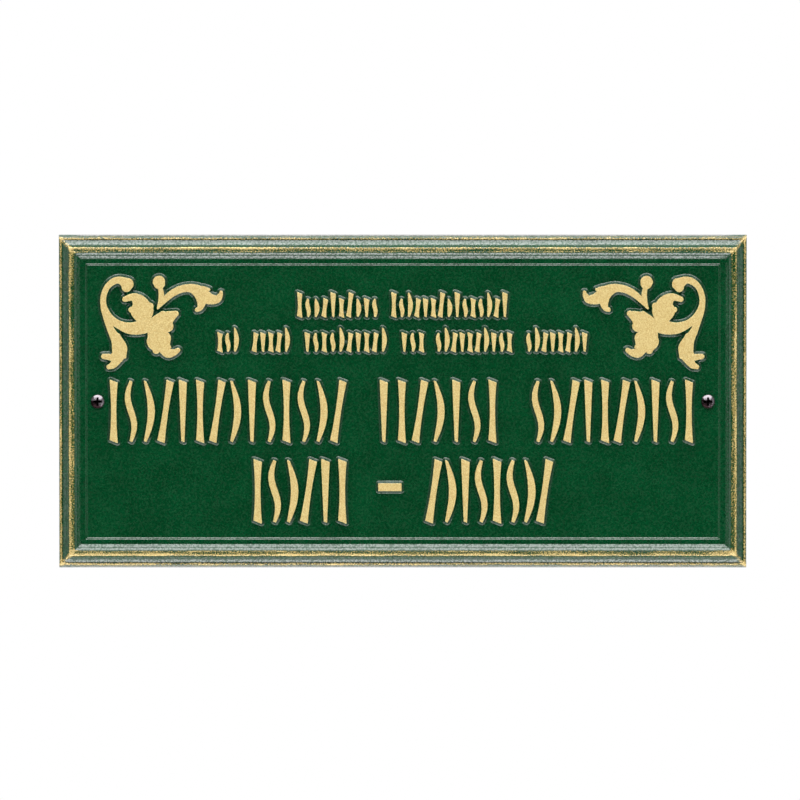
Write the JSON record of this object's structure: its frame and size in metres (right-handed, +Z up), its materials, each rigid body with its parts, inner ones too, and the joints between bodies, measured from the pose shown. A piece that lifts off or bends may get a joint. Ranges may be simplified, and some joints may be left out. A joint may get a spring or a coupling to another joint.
{
  "type": "commemorative plaque",
  "caption": "Rectangular cast wall plaque with a moulded border, a sunk field, mirrored raised leaf scrolls and rows of raised pen strokes, fixed by pan-head screws.",
  "frame": {"origin": "centre of the back, in the plane that lies on the wall", "axes": "+X to the right along the plaque's length, +Y into the wall, +Z up; the front faces -Y"},
  "size_m": [0.413, 0.0349, 0.2],
  "materials": {
    "painted_casting": "satin dark green paint over cast aluminium, with the raised faces and ridges in pale gold",
    "dark_steel": "black oxide"
  },
  "bodies": {
    "root": {"plaque_casting": "painted_casting", "left_screw": "dark_steel", "right_screw": "dark_steel"}
  },
  "joints": []
}
